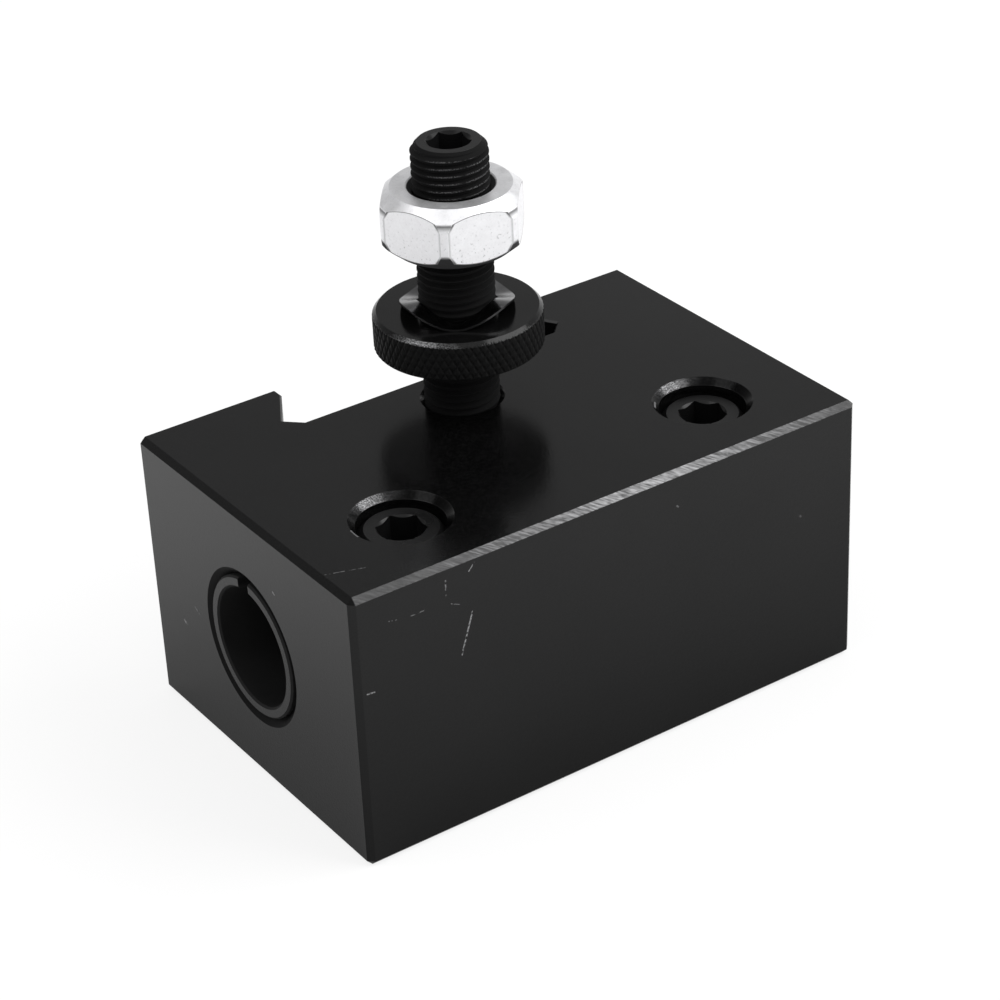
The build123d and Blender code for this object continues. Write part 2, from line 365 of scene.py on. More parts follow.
chamfer_level = (block_high.z - block_low.y) / MM - block_chamfer
fringe = noise(tree, place, fringe_scale, 3.0)
fringe = spread(tree, fringe, noise_low, noise_high, -fringe_reach * MM, fringe_reach * MM)
level = total(tree, sum_of(tree, "SUBTRACT", z_side, y_side), fringe)
front_chamfer = fade(tree, level, chamfer_level - frayed_from, chamfer_level - bare_from, 0.0, 1.0)
leaned = add_node(
    tree,
    "ShaderNodeVectorRotate",
    {"Vector": place, "Axis": chamfer_facing, "Angle": strokes_lean},
    rotation_type="AXIS_ANGLE",
).outputs[0]
belt = place_group(
    tree, stroke_group, {"Vector": leaned, "Pull": stroke_pull, "Scale": stroke_scale}
).outputs["Strokes"]
print("chamfer where height less depth is", round(chamfer_level, 2))

# %% [markdown]
# The cones of the countersinks are duller than the faces. Bare grains show on them only at the back left, where
# the film was rubbed off. The mouths of the bore are dull all round.

# %% Rings on the block: countersinks and bore mouths
cone_inner, cone_outer = 5.64, 6.40
mouth_outer = 10.58
back_from, back_whole = 4.6, 5.6
left_whole, left_to = -1.5, 4.0
fewest_grains = 0.1
cones, rubbed_cones = [], []
for side in ("left", "right"):
    low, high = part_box("clamp_screw_" + side)
    x, y = (low.x + high.x) / 2 / MM, (low.y + high.y) / 2 / MM
    cone = ring(tree, place, (x, y, 0), UPRIGHT, cone_inner, cone_outer)
    at_back = fade(tree, y_side, y + back_from, y + back_whole, fewest_grains, 1.0)
    at_left = fade(tree, x_side, x + left_whole, x + left_to, 1.0, fewest_grains)
    cones.append(cone)
    rubbed_cones.append(product(tree, cone, at_back, at_left))
countersinks, cones_rubbed = largest(tree, *cones), largest(tree, *rubbed_cones)
bore_mouth = ring(tree, place, (0, 0, bore_height), ALONG_BORE, 0.0, mouth_outer)
print("countersinks:", len(cones))

# %% [markdown]
# The scratches were read off the photograph one by one, and are placed from the block's left end, its front
# and its top. A random scatter would be less work, but an eye that knows the object looks for these marks.

# %% Scratches and specks on the block
# Each line is a start, an end and a half width in millimetres, then how much it skips and how strong it is.
left, front, top = block_left, block_front, block_top
scratch_lines = [
    ((left + 16.6, front, top - 7.9), (left + 14.8, front, top - 13.3), 0.13, 0.40, 1.0),
    ((left + 5.0, front, top - 4.6), (left + 7.4, front, top - 5.1), 0.09, 0.48, 0.4),
    ((left + 7.4, front, top - 5.1), (left + 10.0, front, top - 5.05), 0.09, 0.46, 0.4),
    ((left + 13.1, front, top - 2.2), (left + 13.0, front, top - 4.2), 0.12, 0.50, 0.5),
    ((left + 16.4, front, top - 2.2), (left + 17.3, front, top - 1.2), 0.10, 0.44, 0.7),
    ((left + 13.6, front, top - 5.6), (left + 15.5, front, top - 6.5), 0.07, 0.50, 0.4),
    ((left + 1.4, front, top - 13.3), (left + 2.4, front, top - 13.4), 0.13, 0.36, 0.75),
    ((left + 47.3, front, top - 4.8), (left + 47.5, front, top - 5.0), 0.14, 0.30, 0.3),
    ((left + 66.9, front, top - 13.5), (left + 67.2, front, top - 13.8), 0.16, 0.40, 0.2),
    ((left + 1.0, front + 6.9, top), (left + 5.5, front + 5.3, top), 0.09, 0.46, 0.5),
    ((left, front + 18.2, top - 7.6), (left, front + 17.9, top - 7.8), 0.15, 0.34, 1.0),
    ((left, front + 38.2, top - 20.7), (left, front + 39.2, top - 20.2), 0.12, 0.44, 0.7),
    ((left, front + 42.0, top - 24.1), (left, front + 42.6, top - 23.9), 0.22, 0.40, 0.9),
    # The last two are bare ticks on the rims of the countersinks.
    ((-29.36, -11.8, top - 0.05), (-29.43, -13.3, top), 0.20, 0.20, 1.0),
    ((18.40, -8.9, top - 0.40), (17.55, -10.0, top - 0.30), 0.22, 0.20, 1.0),
]
scratches = []
for start, end, half_width, skips, strength in scratch_lines:
    inputs = {"Vector": place, "Start": Vector(start) * MM, "End": Vector(end) * MM}
    inputs.update({"Half Width": half_width * MM, "Skips": skips})
    scratches.append(product(tree, place_group(tree, scratch_group, inputs).outputs["Mask"], strength))
scratched = largest(tree, *scratches)
print("scratches and specks:", len(scratches))

# %% [markdown]
# What is bare comes from three masks. The belt's strokes rub the long chamfer, most of all in its middle. The
# scratches are bare all through, and the countersinks only in fine grains. Bare steel is the metal part of the
# shader. A metal share that keeps the film's own black tone makes the film mirror less instead. It is large on
# the countersinks' cones, and towards the base it grows as painted shade, which darkens the low faces. It also
# holds some of the film's grain, so that the grain shows most where the film catches light.

# %% Bring the block's finish together
least_left, least_right = 0.17, 0.20
steel_dark, steel_light = grey(0.14), grey(0.40)
# The first two set painted shade: how much less the film mirrors at the base and at the top.
shade_dull_at_base, shade_dull_at_top, dull_in_grain, dull_on_cones = 0.45, 0.05, 0.22, 0.78
ground_roughness, mouth_roughness = 0.35, 0.55

rubbed_left = fade(tree, x_side, -30.0, 0.0, least_left, 1.0)
rubbed_right = fade(tree, x_side, 10.0, block_high.x / MM, 1.0, least_right)
rubbed_strokes = spread(tree, belt, 0.2, 0.8, 0.22, 0.68)
rubbed = product(tree, front_chamfer, rubbed_strokes, product(tree, rubbed_left, rubbed_right))
ground = largest(tree, rubbed, scratched)
cone_grains = spread(tree, noise(tree, place, 8500.0), 0.46, 0.60, 0.03, 0.68)
flecks = product(tree, cones_rubbed, cone_grains)
bare = largest(tree, ground, flecks)
steel = blend_colors(tree, belt, steel_dark, steel_light)
color = blend_colors(tree, bare, black, steel)
# Painted shade: the film mirrors less towards the base, so the low faces come out darker.
painted_base_shade_and_grain = fade(tree, z_side, 2.0, 36.0, shade_dull_at_base, shade_dull_at_top)
painted_base_shade_and_grain = total(tree, painted_base_shade_and_grain, product(tree, film_grain, dull_in_grain))
metal_share = largest(tree, bare, painted_base_shade_and_grain, product(tree, countersinks, dull_on_cones))
film_gloss = spread(tree, clouds.outputs["Cloud"], 0.0, 1.0, 0.17, 0.21)
film_gloss = total(
    tree, film_gloss, product(tree, ground, ground_roughness), product(tree, bore_mouth, mouth_roughness)
)
feed(tree, shader, color, film_gloss, metal_share, clouds.outputs["Speckle"], 0.004)
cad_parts["holder_block"].material_slots[0].material = block_finish
print("block finish has", len(tree.nodes), "nodes")

# %% [markdown]
# The other black pieces use the same groups with their own values: the screws are near to the block, the stud
# mirrors least, and the wheel is the glossiest. The crests of the stud's thread and the chamfer of the wheel
# are worn in fine grains, because the nut and fingers rub there. On a few sides the grains are made strong as
# painted highlights, for the glints of the lamps. The knurl and the stud's thread are matt.

# %% Finishes of the black pieces
LEAST_WORN, WORN_AND_GLINT_TONE = 0.04, 0.25
GLINT_FROM, GLINT_WHOLE = 0.86, 0.965
MATT_ROUGHNESS = 0.5
SMALL_CLOUD, SMALL_SPECKLE = 90.0, 3000.0


def small_clouds(tree, place):
    """The cloud and the speckle at the scale of a small piece."""
    scales = {"Cloud Scale": SMALL_CLOUD, "Speckle Scale": SMALL_SPECKLE}
    return place_group(tree, cloud_group, {"Vector": place, **scales})


def black_finish(name, tones, roughnesses, specular, worn_and_glints=None, matt=None):
    """A black oxide finish between two tones and two roughnesses. A matt or a worn band is a dictionary: its
    place is (centre, inner, outer, lowest, highest) in millimetres, and its share says how strong it is. A
    worn band also has the sides, in degrees round its axis, where its bare grains are strongest: there they are
    a painted highlight, for the glints of the lamps."""
    material, tree, shader, place = new_material(name)
    shader.inputs["Specular IOR Level"].default_value = specular
    clouds = small_clouds(tree, place)
    color = blend_colors(tree, clouds.outputs["Cloud"], grey(tones[0]), grey(tones[1]))
    roughness = spread(tree, clouds.outputs["Cloud"], 0.0, 1.0, *roughnesses)
    metal_parts = []
    if matt:
        matt_band = band(tree, place, *matt["place"])
        metal_parts.append(product(tree, matt_band, matt["share"]))
        roughness = total(tree, roughness, product(tree, matt_band, MATT_ROUGHNESS))
    if worn_and_glints:
        centre, outer = worn_and_glints["place"][0], worn_and_glints["place"][2]
        # The sides put painted highlights on the band: bare grains where the lamps' glints would be.
        glint_sides = [LEAST_WORN]
        for turn in worn_and_glints["sides"]:
            direction = Vector((math.cos(math.radians(turn)), math.sin(math.radians(turn)), 0))
            out = vector_math(tree, "DOT_PRODUCT", {0: place, 1: direction}).outputs["Value"]
            out = sum_of(tree, "SUBTRACT", out, direction.dot(Vector(centre)) * MM)
            glint_sides.append(fade(tree, out, GLINT_FROM * outer, GLINT_WHOLE * outer, LEAST_WORN, 1.0))
        grains = spread(tree, noise(tree, place, 7000.0), 0.42, 0.62, 0.0, worn_and_glints["share"])
        worn_and_glint_band = band(tree, place, *worn_and_glints["place"], soft=0.02)
        # Bare grains: real wear on the band, made strong on the sides as painted highlights.
        bare = product(tree, worn_and_glint_band, grains, largest(tree, *glint_sides))
        color = blend_colors(tree, bare, color, grey(WORN_AND_GLINT_TONE))
        metal_parts.append(bare)
    metallic = largest(tree, *metal_parts) if metal_parts else None
    feed(tree, shader, color, roughness, metallic, clouds.outputs["Speckle"], 0.003)
    return material


wheel_bottom, wheel_top = wheel_low.z / MM, wheel_high.z / MM
stud_top, nut_top = stud_high.z / MM, nut_high.z / MM
screw_finish = black_finish("screw_black_oxide", (0.004, 0.008), (0.24, 0.34), 0.25)
# The sides given for the stud and the wheel are painted highlights, for the glints of the lamps on the crests and the
# chamfer.
stud_finish = black_finish(
    "stud_black_oxide", (0.006, 0.011), (0.24, 0.34), 0.14,
    worn_and_glints={"place": (stud_axis, 4.84, 4.95, nut_top - 2, stud_top - 0.2), "share": 0.45, "sides": (-133, -74)},
    matt={"place": (stud_axis, 4.05, 5.0, 0, 100), "share": 0.42},
)
wheel_finish = black_finish(
    "wheel_black_oxide", (0.002, 0.005), (0.12, 0.18), 0.22,
    worn_and_glints={"place": (stud_axis, 10.36, 10.95, wheel_top - 0.54, wheel_top + 1), "share": 0.8, "sides": (-149,)},
    matt={"place": (stud_axis, 10.36, 10.95, wheel_bottom - 1, wheel_top - 0.56), "share": 0.4},
)
print("black finishes:", screw_finish.name, stud_finish.name, wheel_finish.name)

# %% [markdown]
# The sleeve's end ring was faced smooth, while its chamfers and its inside kept the dull scale of the furnace.
# A ring mask round the bore tells the two apart.

# %% The sleeve's finish
end_inner, end_outer = 8.24, 9.23
sleeve_finish, tree, shader, place = new_material("sleeve_black_oxide")
shader.inputs["Specular IOR Level"].default_value = 0.22
clouds = small_clouds(tree, place)
end_ring = ring(tree, place, (0, 0, bore_height), ALONG_BORE, end_inner, end_outer, 0.02)
sleeve_black = blend_colors(tree, clouds.outputs["Cloud"], grey(0.004), grey(0.009))
sleeve_gloss = spread(tree, end_ring, 0.0, 1.0, 0.75, 0.27)
sleeve_gloss = total(tree, sleeve_gloss, spread(tree, clouds.outputs["Cloud"], 0.0, 1.0, -0.03, 0.03))
feed(tree, shader, sleeve_black, sleeve_gloss, None, clouds.outputs["Speckle"], 0.003)
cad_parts["split_sleeve"].material_slots[0].material = sleeve_finish
print("sleeve finish has", len(tree.nodes), "nodes")

# %% [markdown]
# The washer is bare spring steel and the nut is zinc plated. Both are metal, so their colour is mostly what
# they mirror. A grain in their tone keeps them from looking like chrome: steel shows its rolling, and plating
# grows as small crystals.

# %% The washer's finish


def metal_grain(tree, clouds):
    """A tone that is more cloud than speckle."""
    return total(tree, product(tree, clouds.outputs["Cloud"], 0.6), product(tree, clouds.outputs["Speckle"], 0.4))


washer_finish, tree, shader, place = new_material("washer_spring_steel")
shader.inputs["Metallic"].default_value = 1.0
clouds = place_group(tree, cloud_group, {"Vector": place, "Cloud Scale": 300.0, "Speckle Scale": 2500.0})
spring_steel = blend_colors(tree, metal_grain(tree, clouds), grey(0.12), grey(0.20))
washer_gloss = spread(tree, clouds.outputs["Cloud"], 0.0, 1.0, 0.18, 0.24)
feed(tree, shader, spring_steel, washer_gloss, None, clouds.outputs["Speckle"], 0.002)
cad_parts["wave_washer"].material_slots[0].material = washer_finish
print("washer finish has", len(tree.nodes), "nodes")

# %% [markdown]
# The nut's six sides stop short of its corners, and a thin grey line runs round each side where the plating
# met the burr. The line is where a side comes close to the turned outline of the nut, which is a cone, a
# shoulder and a cylinder from each end inwards. So the same outline is worked out for each height, and what a
# point on a side still lacks to it gives the line. Points on the shoulders themselves and on the turned
# underside near the bottom are painted dark as shade, and the mouth round the stud is painted dark too.

# %% The nut's turned outline
nut_end_radius, nut_shoulder_radius, nut_corner_radius = 7.7, 9.3, 9.58
nut_shoulder_height, nut_mouth_radius = 1.1, 5.5
nut_cone_slope = math.tan(math.radians(40))
nut_cone_height = (nut_shoulder_radius - nut_end_radius) * nut_cone_slope
nut_shoulder_slope = (nut_corner_radius - nut_shoulder_radius) / nut_shoulder_height

nut_finish, tree, shader, place = new_material("nut_zinc_plate")
around_stud = {"Vector": place, "Centre": Vector(stud_axis) * MM, "Across": UPRIGHT}
nut_radius = place_group(tree, ring_group, around_stud).outputs["Radius"]
nut_z = add_node(tree, "ShaderNodeSeparateXYZ", {0: place}).outputs[2]
nut_middle = (nut_low.z + nut_high.z) / 2
from_middle = sum_of(tree, "ABSOLUTE", sum_of(tree, "SUBTRACT", nut_z, nut_middle))
from_end = sum_of(tree, "SUBTRACT", nut_high.z - nut_middle, from_middle)
end_cone = total(tree, sum_of(tree, "DIVIDE", from_end, nut_cone_slope), nut_end_radius * MM)
past_cone = sum_of(tree, "SUBTRACT", from_end, nut_cone_height * MM)
shoulder = total(tree, product(tree, past_cone, nut_shoulder_slope), nut_shoulder_radius * MM)
turned = smallest(tree, end_cone, shoulder, nut_corner_radius * MM)
lacking = sum_of(tree, "SUBTRACT", turned, nut_radius)
print("nut's cone is", round(nut_cone_height, 2), "mm high")

# %% The nut's stains and painted shade
nut_bottom = nut_low.z / MM
line_from, line_whole, line_fading, line_gone = 0.03, 0.05, 0.10, 0.19
clouds = place_group(tree, cloud_group, {"Vector": place, "Cloud Scale": 700.0, "Speckle Scale": 3500.0})
side_line = product(
    tree,
    fade(tree, lacking, line_from, line_whole, 0.0, 1.0),
    fade(tree, lacking, line_fading, line_gone),
    fade(tree, from_end, 0.3, 0.5, 0.0, 1.0),
    fade(tree, from_end, 1.6, 2.3, 1.0, 0.35),
)
# Painted shade: the shoulders are painted dark, for the dark that these steep faces show.
past_shoulder = fade(tree, nut_radius, nut_shoulder_radius, nut_shoulder_radius + 0.06, 0.0, 1.0)
on_shoulder = product(tree, past_shoulder, fade(tree, from_end, 1.5, 2.2))
in_mouth = fade(tree, nut_radius, nut_mouth_radius, nut_mouth_radius + 0.1)
on_turned = fade(tree, lacking, line_from, line_whole)
# Painted shade: the turned underside near the bottom is painted dark.
underneath = product(tree, on_turned, fade(tree, nut_z, nut_bottom + 2.1, nut_bottom + 2.6))
few_above = fade(tree, nut_z, nut_bottom + 2, nut_middle / MM + 2.5, 1.0, 0.25)
specks = product(tree, spread(tree, clouds.outputs["Speckle"], 0.0, 0.16, 0.40, 0.0), few_above)
# The dark grey joins the side lines and specks with painted shade on the shoulders and underneath, and with a dark
# mouth.
painted_shade_and_mouth = largest(tree, on_shoulder, in_mouth, underneath)
stain_and_painted_shade = largest(
    tree, product(tree, side_line, 0.95), product(tree, on_shoulder, 0.85), specks, in_mouth, underneath
)
print("nut finish has", len(tree.nodes), "nodes so far")

# %% The nut's finish
shader.inputs["Metallic"].default_value = 0.8
plating = blend_colors(tree, metal_grain(tree, clouds), grey(0.84), grey(0.97))
zinc = blend_colors(tree, stain_and_painted_shade, plating, grey(0.06))
nut_gloss = spread(tree, clouds.outputs["Cloud"], 0.0, 1.0, 0.34, 0.46)
nut_gloss = total(tree, nut_gloss, product(tree, painted_shade_and_mouth, 0.5))
feed(tree, shader, zinc, nut_gloss, None, clouds.outputs["Speckle"], 0.006)
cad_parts["lock_nut"].material_slots[0].material = nut_finish
print("nut finish has", len(tree.nodes), "nodes")

# %% [markdown]
# A thread and a knurl both follow a rule, so Geometry Nodes make them. Both start from a flat grid that is
# wrapped round an axis, and both end in the same way: the points are moved, the seam is merged, instances are
# made real and the finish is set. These helpers make that start and that end.

# %% Helpers for skins that are wrapped round an axis
MERGE_REACH = 0.001 * MM
COUNT, GEOMETRY, MATERIAL = "NodeSocketInt", "NodeSocketGeometry", "NodeSocketMaterial"


def new_shape_tree(name, sizes, counts):
    """A geometry tree with these named inputs and a finish."""
    inputs = [("Geometry", GEOMETRY)]
    inputs += [(size, FLOAT) for size in sizes] + [(count, COUNT) for count in counts]
    return new_group(name, inputs + [("Finish", MATERIAL)], [("Geometry", GEOMETRY)], "GeometryNodeTree")


def unit_grid(tree, columns, rows):
    """A flat grid, and how far round and how far up each of its points is, from 0 to 1."""
    sides = {"Size X": 1.0, "Size Y": 1.0, "Vertices X": columns, "Vertices Y": rows}
    grid = add_node(tree, "GeometryNodeMeshGrid", sides).outputs["Mesh"]
    flat_place = add_node(tree, "GeometryNodeInputPosition").outputs[0]
    across, along, _ = add_node(tree, "ShaderNodeSeparateXYZ", {0: flat_place}).outputs
    return grid, total(tree, across, 0.5), total(tree, along, 0.5)


def wrap_grid(tree, grid, radius, angle, z, finish, result):
    """Moves the grid's points to a radius, an angle and a height each, and puts the finished skin out."""
    x = product(tree, radius, sum_of(tree, "COSINE", angle))
    y = product(tree, radius, sum_of(tree, "SINE", angle))
    wrapped_place = add_node(tree, "ShaderNodeCombineXYZ", {0: x, 1: y, 2: z}).outputs[0]
    skin = add_node(tree, "GeometryNodeSetPosition", {"Geometry": grid, "Position": wrapped_place}).outputs[0]
    skin = add_node(tree, "GeometryNodeMergeByDistance", {"Geometry": skin, "Distance": MERGE_REACH}).outputs[0]
    skin = add_node(tree, "GeometryNodeRealizeInstances", {"Geometry": skin}).outputs[0]
    skin = add_node(tree, "GeometryNodeSetMaterial", {"Geometry": skin, "Material": finish}).outputs[0]
    tree.links.new(skin, result["Geometry"])


# %% [markdown]
# In a screw thread, each column of the grid stands at one angle, and each row climbs by one pitch on its way
# round, so the last column of a row meets the first column of the row one turn higher. The place within the
# pitch gives the radius, between crest and root. Rows that would run past an end are held at that end, and
# there a cone limits the radius, which is the chamfer of a real screw. Merging the doubles then leaves one
# clean skin.

# %% The thread tree


def make_thread_tree(root_flat=1 / 4, crest_flat=1 / 8):
    """The tree that winds a thread. Its sizes are in metres and its turn is in radians. The flats at the root
    and the crest are shares of the pitch."""
    tree, given, result = new_shape_tree(
        "screw_thread",
        ("Crest Radius", "Root Radius", "Pitch", "Bottom", "Top", "Bottom Flat", "Top Flat", "Bottom Slope", "Turn"),
        ("Columns", "Rows Per Turn"),
    )
    pitch, bottom, top = given["Pitch"], given["Bottom"], given["Top"]
    height = sum_of(tree, "SUBTRACT", top, bottom)
    turns = total(tree, sum_of(tree, "CEIL", sum_of(tree, "DIVIDE", height, pitch)), 1.0)
    rows = total(tree, product(tree, turns, given["Rows Per Turn"]), 1.0)
    grid, around, up = unit_grid(tree, total(tree, given["Columns"], 1.0), rows)
    climb = total(tree, sum_of(tree, "SUBTRACT", product(tree, up, turns), 1.0), around)
    free_z = total(tree, product(tree, climb, pitch), bottom)
    z = smallest(tree, largest(tree, free_z, bottom), top)

    above_bottom = sum_of(tree, "SUBTRACT", z, bottom)
    turns_up = sum_of(tree, "DIVIDE", above_bottom, pitch)
    phase = sum_of(tree, "FRACT", sum_of(tree, "SUBTRACT", turns_up, around))
    from_root = sum_of(tree, "ABSOLUTE", sum_of(tree, "SUBTRACT", product(tree, phase, 2.0), 1.0))
    profile = spread(tree, from_root, root_flat, 1 - crest_flat)
    depth = sum_of(tree, "SUBTRACT", given["Crest Radius"], given["Root Radius"])
    wound = total(tree, given["Root Radius"], product(tree, depth, profile))
    top_cone = total(tree, given["Top Flat"], sum_of(tree, "SUBTRACT", top, z))
    bottom_cone = total(tree, given["Bottom Flat"], product(tree, above_bottom, given["Bottom Slope"]))
    radius = smallest(tree, wound, top_cone, bottom_cone)
    angle = total(tree, product(tree, around, 2 * math.pi), given["Turn"])
    wrap_grid(tree, grid, radius, angle, z, given["Finish"], result)
    return tree


thread_tree = make_thread_tree()
print("thread tree:", len(thread_tree.nodes), "nodes")

# %% [markdown]
# A tree is run by a modifier on an empty mesh. Its inputs are set by their identifiers before the object is
# first evaluated. The result is then read off as a plain mesh, and the modifier's object is thrown away.

# %% Run a tree to a plain mesh


def run_tree(tree, name, values):
    """The mesh that a geometry tree makes with these input values, as a shape to build on."""
    carrier = bpy.data.objects.new(name + "_carrier", bpy.data.meshes.new(name + "_carrier"))
    bpy.context.scene.collection.objects.link(carrier)
    modifier = carrier.modifiers.new("shape", "NODES")
    modifier.node_group = tree
    for socket in tree.interface.items_tree:
        if socket.in_out == "INPUT" and socket.name in values:
            modifier[socket.identifier] = values[socket.name]
    evaluated = carrier.evaluated_get(bpy.context.evaluated_depsgraph_get())
    mesh = bpy.data.meshes.new_from_object(evaluated)
    carrier.modifiers.remove(modifier)
    bpy.data.objects.remove(carrier)
    print(name, "faces", len(mesh.polygons))
    shape = bmesh.new()
    shape.from_mesh(mesh)
    bpy.data.meshes.remove(mesh)
    return shape


# %% [markdown]
# The ends of a screw aren't wound but turned, with a hexagon socket in the top. They are built from rings of
# points. A ring has a radius and a height for each angle, so the same helper makes a round rim, the six
# corners of a socket, and the scalloped edge where a socket's chamfered mouth cuts its flats.

# %% Rings for turned and hexagonal ends


def hexagon_radius(angle, across_flats):
    """How far a hexagon's side is from its middle at this angle from a corner."""
    from_flat = (angle % (math.pi / 3)) - math.pi / 6
    return across_flats / 2 / math.cos(from_flat)


def angles_round(count, start=0.0):
    """Evenly spaced angles from the first corner, each with its direction when the corner stands at the start."""
    steps = [2 * math.pi * index / count for index in range(count)]
    return [(step, Vector((math.cos(step + start), math.sin(step + start)))) for step in steps]


def add_rings(shape, angles, outlines):
    """Adds a skin between rings. An outline gives a ring's (radius, height) for an angle."""
    previous = None
    for outline in outlines:
        points = []
        for angle, direction in angles:
            radius, z = outline(angle)
            points.append((radius * direction.x, radius * direction.y, z))
        current = [shape.verts.new(point) for point in points]
        if previous:
            for index in range(len(angles)):
                after = (index + 1) % len(angles)
                shape.faces.new((previous[index], previous[after], current[after], current[index]))
        previous = current


def close_shape(shape, name, centre, finish, sharp_angle):
    """Merges the doubles, points the faces outwards, moves the shape to its place and returns its object."""
    bmesh.ops.remove_doubles(shape, verts=shape.verts, dist=MERGE_REACH)
    bmesh.ops.dissolve_degenerate(shape, edges=shape.edges, dist=MERGE_REACH / 2)
    bmesh.ops.recalc_face_normals(shape, faces=shape.faces)
    bmesh.ops.translate(shape, verts=shape.verts, vec=centre)
    open_edges = sum(1 for edge in shape.edges if not edge.is_manifold)
    mesh = bpy.data.meshes.new(name)
    shape.to_mesh(mesh)
    shape.free()
    for polygon in mesh.polygons:
        polygon.use_smooth = True
    mesh.set_sharp_from_angle(angle=math.radians(sharp_angle))
    mesh.materials.clear()
    mesh.materials.append(finish)
    piece = bpy.data.objects.new(name, mesh)
    bpy.context.scene.collection.objects.link(piece)
    print(name, "faces", len(mesh.polygons), "open edges", open_edges)
    return piece


# %% [markdown]
# The three screws are all threaded socket screws, so one function makes them: the thread from the tree, a flat
# top with its hexagon socket and a drilled point under it, and a flat tip. The columns start at a corner of
# the socket, which keeps the six corners crisp.

# %% One threaded socket screw
SCREW_COLUMNS, ROWS_PER_TURN = 72, 16
SCREW_SHARP_ANGLE = 40
DRILL_POINT_ANGLE = 59


def threaded_screw(name, centre, finish, turn, thread, socket):
    """A socket screw along Z. Sizes are in millimetres, and the turn is in degrees."""
    start = math.radians(turn)
    values = {"Turn": start, "Columns": SCREW_COLUMNS, "Rows Per Turn": ROWS_PER_TURN, "Finish": finish}
    for key, value in thread.items():
        values[key] = value if key == "Bottom Slope" else value * MM
    shape = run_tree(thread_tree, name + "_thread", values)

    angles = angles_round(SCREW_COLUMNS, start)
    top, bottom = values["Top"], values["Bottom"]
    flats, depth, mouth = socket["flats"] * MM, socket["depth"] * MM, socket["mouth"] / 2 * MM
    point = flats / 2 / math.tan(math.radians(DRILL_POINT_ANGLE))

    def mouth_radius(angle):
        return max(mouth, hexagon_radius(angle, flats))

    add_rings(shape, angles, [
        lambda angle: (values["Top Flat"], top),
        lambda angle: (mouth_radius(angle), top),
        lambda angle: (hexagon_radius(angle, flats), top - (mouth_radius(angle) - hexagon_radius(angle, flats))),
        lambda angle: (hexagon_radius(angle, flats), top - depth),
        lambda angle: (flats / 2, top - depth),
        lambda angle: (0.0, top - depth - point),
    ])
    add_rings(shape, angles, [
        lambda angle: (values["Bottom Flat"], bottom),
        lambda angle: (0.0, bottom),
    ])
    return close_shape(shape, name, centre, finish, SCREW_SHARP_ANGLE)


# %% The height stud
stud = threaded_screw(
    "height_stud_threaded",
    Vector(stud_axis) * MM,
    stud_finish,
    22,
    {
        "Crest Radius": 4.9,
        "Root Radius": 4.36,
        "Pitch": 1.0,
        "Bottom": stud_low.z / MM,
        "Top": stud_high.z / MM,
        "Bottom Flat": 4.0,
        "Top Flat": 4.0,
        "Bottom Slope": 1.0,
    },
    {"flats": 5.0, "depth": 5.5, "mouth": 5.82},
)
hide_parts("height_stud")
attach(stud, "holder")

# %% The clamp screws
for side, turn in (("left", 23), ("right", 11)):
    low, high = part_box("clamp_screw_" + side)
    screw = threaded_screw(
        f"clamp_screw_{side}_threaded",
        Vector(((low.x + high.x) / 2, (low.y + high.y) / 2, 0)),
        screw_finish,
        turn,
        {
            "Crest Radius": 5.55,
            "Root Radius": 4.86,
            "Pitch": 1.27,
            "Bottom": low.z / MM,
            "Top": high.z / MM,
            "Bottom Flat": 3.0,
            "Top Flat": 4.62,
            "Bottom Slope": math.tan(math.radians(30)),
        },
        {"flats": 5.56, "depth": 5.5, "mouth": 6.15},
    )
    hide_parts("clamp_screw_" + side)
    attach(screw, side + "_screw")

# %% [markdown]
# The wheel's rim is knurled: two sets of slanting grooves were rolled into it and left small pyramids. A bump
# could fake them, but the toothed border shows against the light, so they are shaped. Each point of the grid
# looks how far it is from the nearest groove of either set. The cones of the two chamfers cut the pyramids off
# at the top and the bottom, which gives the border.

# %% The knurl tree


def make_knurl_tree(flank_share=0.5):
    """The tree that makes a knurled rim. Its sizes are in metres. The flank share is how much of a tooth's half
    width its slope takes, and the rest is its flat top."""
    tree, given, result = new_shape_tree(
        "knurled_rim",
        ("Radius", "Groove Depth", "Bottom", "Top", "Bottom Chamfer", "Top Chamfer", "Rows Of Teeth"),
        ("Teeth Around", "Steps Per Tooth", "Steps Up"),
    )
    full_radius, bottom, top = given["Radius"], given["Bottom"], given["Top"]
    columns = total(tree, product(tree, given["Teeth Around"], given["Steps Per Tooth"]), 1.0)
    grid, around, up = unit_grid(tree, columns, total(tree, given["Steps Up"], 1.0))
    tooth_around = product(tree, around, given["Teeth Around"])
    tooth_up = product(tree, up, given["Rows Of Teeth"])
    ridges = []
    for operation in ("ADD", "SUBTRACT"):
        slant = sum_of(tree, "FRACT", sum_of(tree, operation, tooth_around, tooth_up))
        to_groove = sum_of(tree, "ABSOLUTE", sum_of(tree, "SUBTRACT", product(tree, slant, 2.0), 1.0))
        ridges.append(sum_of(tree, "SUBTRACT", 1.0, to_groove))
    tooth = spread(tree, smallest(tree, *ridges), 0.0, flank_share)
    sunk = product(tree, sum_of(tree, "SUBTRACT", 1.0, tooth), given["Groove Depth"])
    rim = sum_of(tree, "SUBTRACT", full_radius, sunk)

    z = total(tree, bottom, product(tree, up, sum_of(tree, "SUBTRACT", top, bottom)))
    top_rim = sum_of(tree, "SUBTRACT", full_radius, given["Top Chamfer"])
    top_cone = total(tree, top_rim, sum_of(tree, "SUBTRACT", top, z))
    bottom_rim = sum_of(tree, "SUBTRACT", full_radius, given["Bottom Chamfer"])
    bottom_cone = total(tree, bottom_rim, sum_of(tree, "SUBTRACT", z, bottom))
    radius = smallest(tree, rim, top_cone, bottom_cone)
    wrap_grid(tree, grid, radius, product(tree, around, 2 * math.pi), z, given["Finish"], result)
    return tree


knurl_tree = make_knurl_tree()
print("knurl tree:", len(knurl_tree.nodes), "nodes")

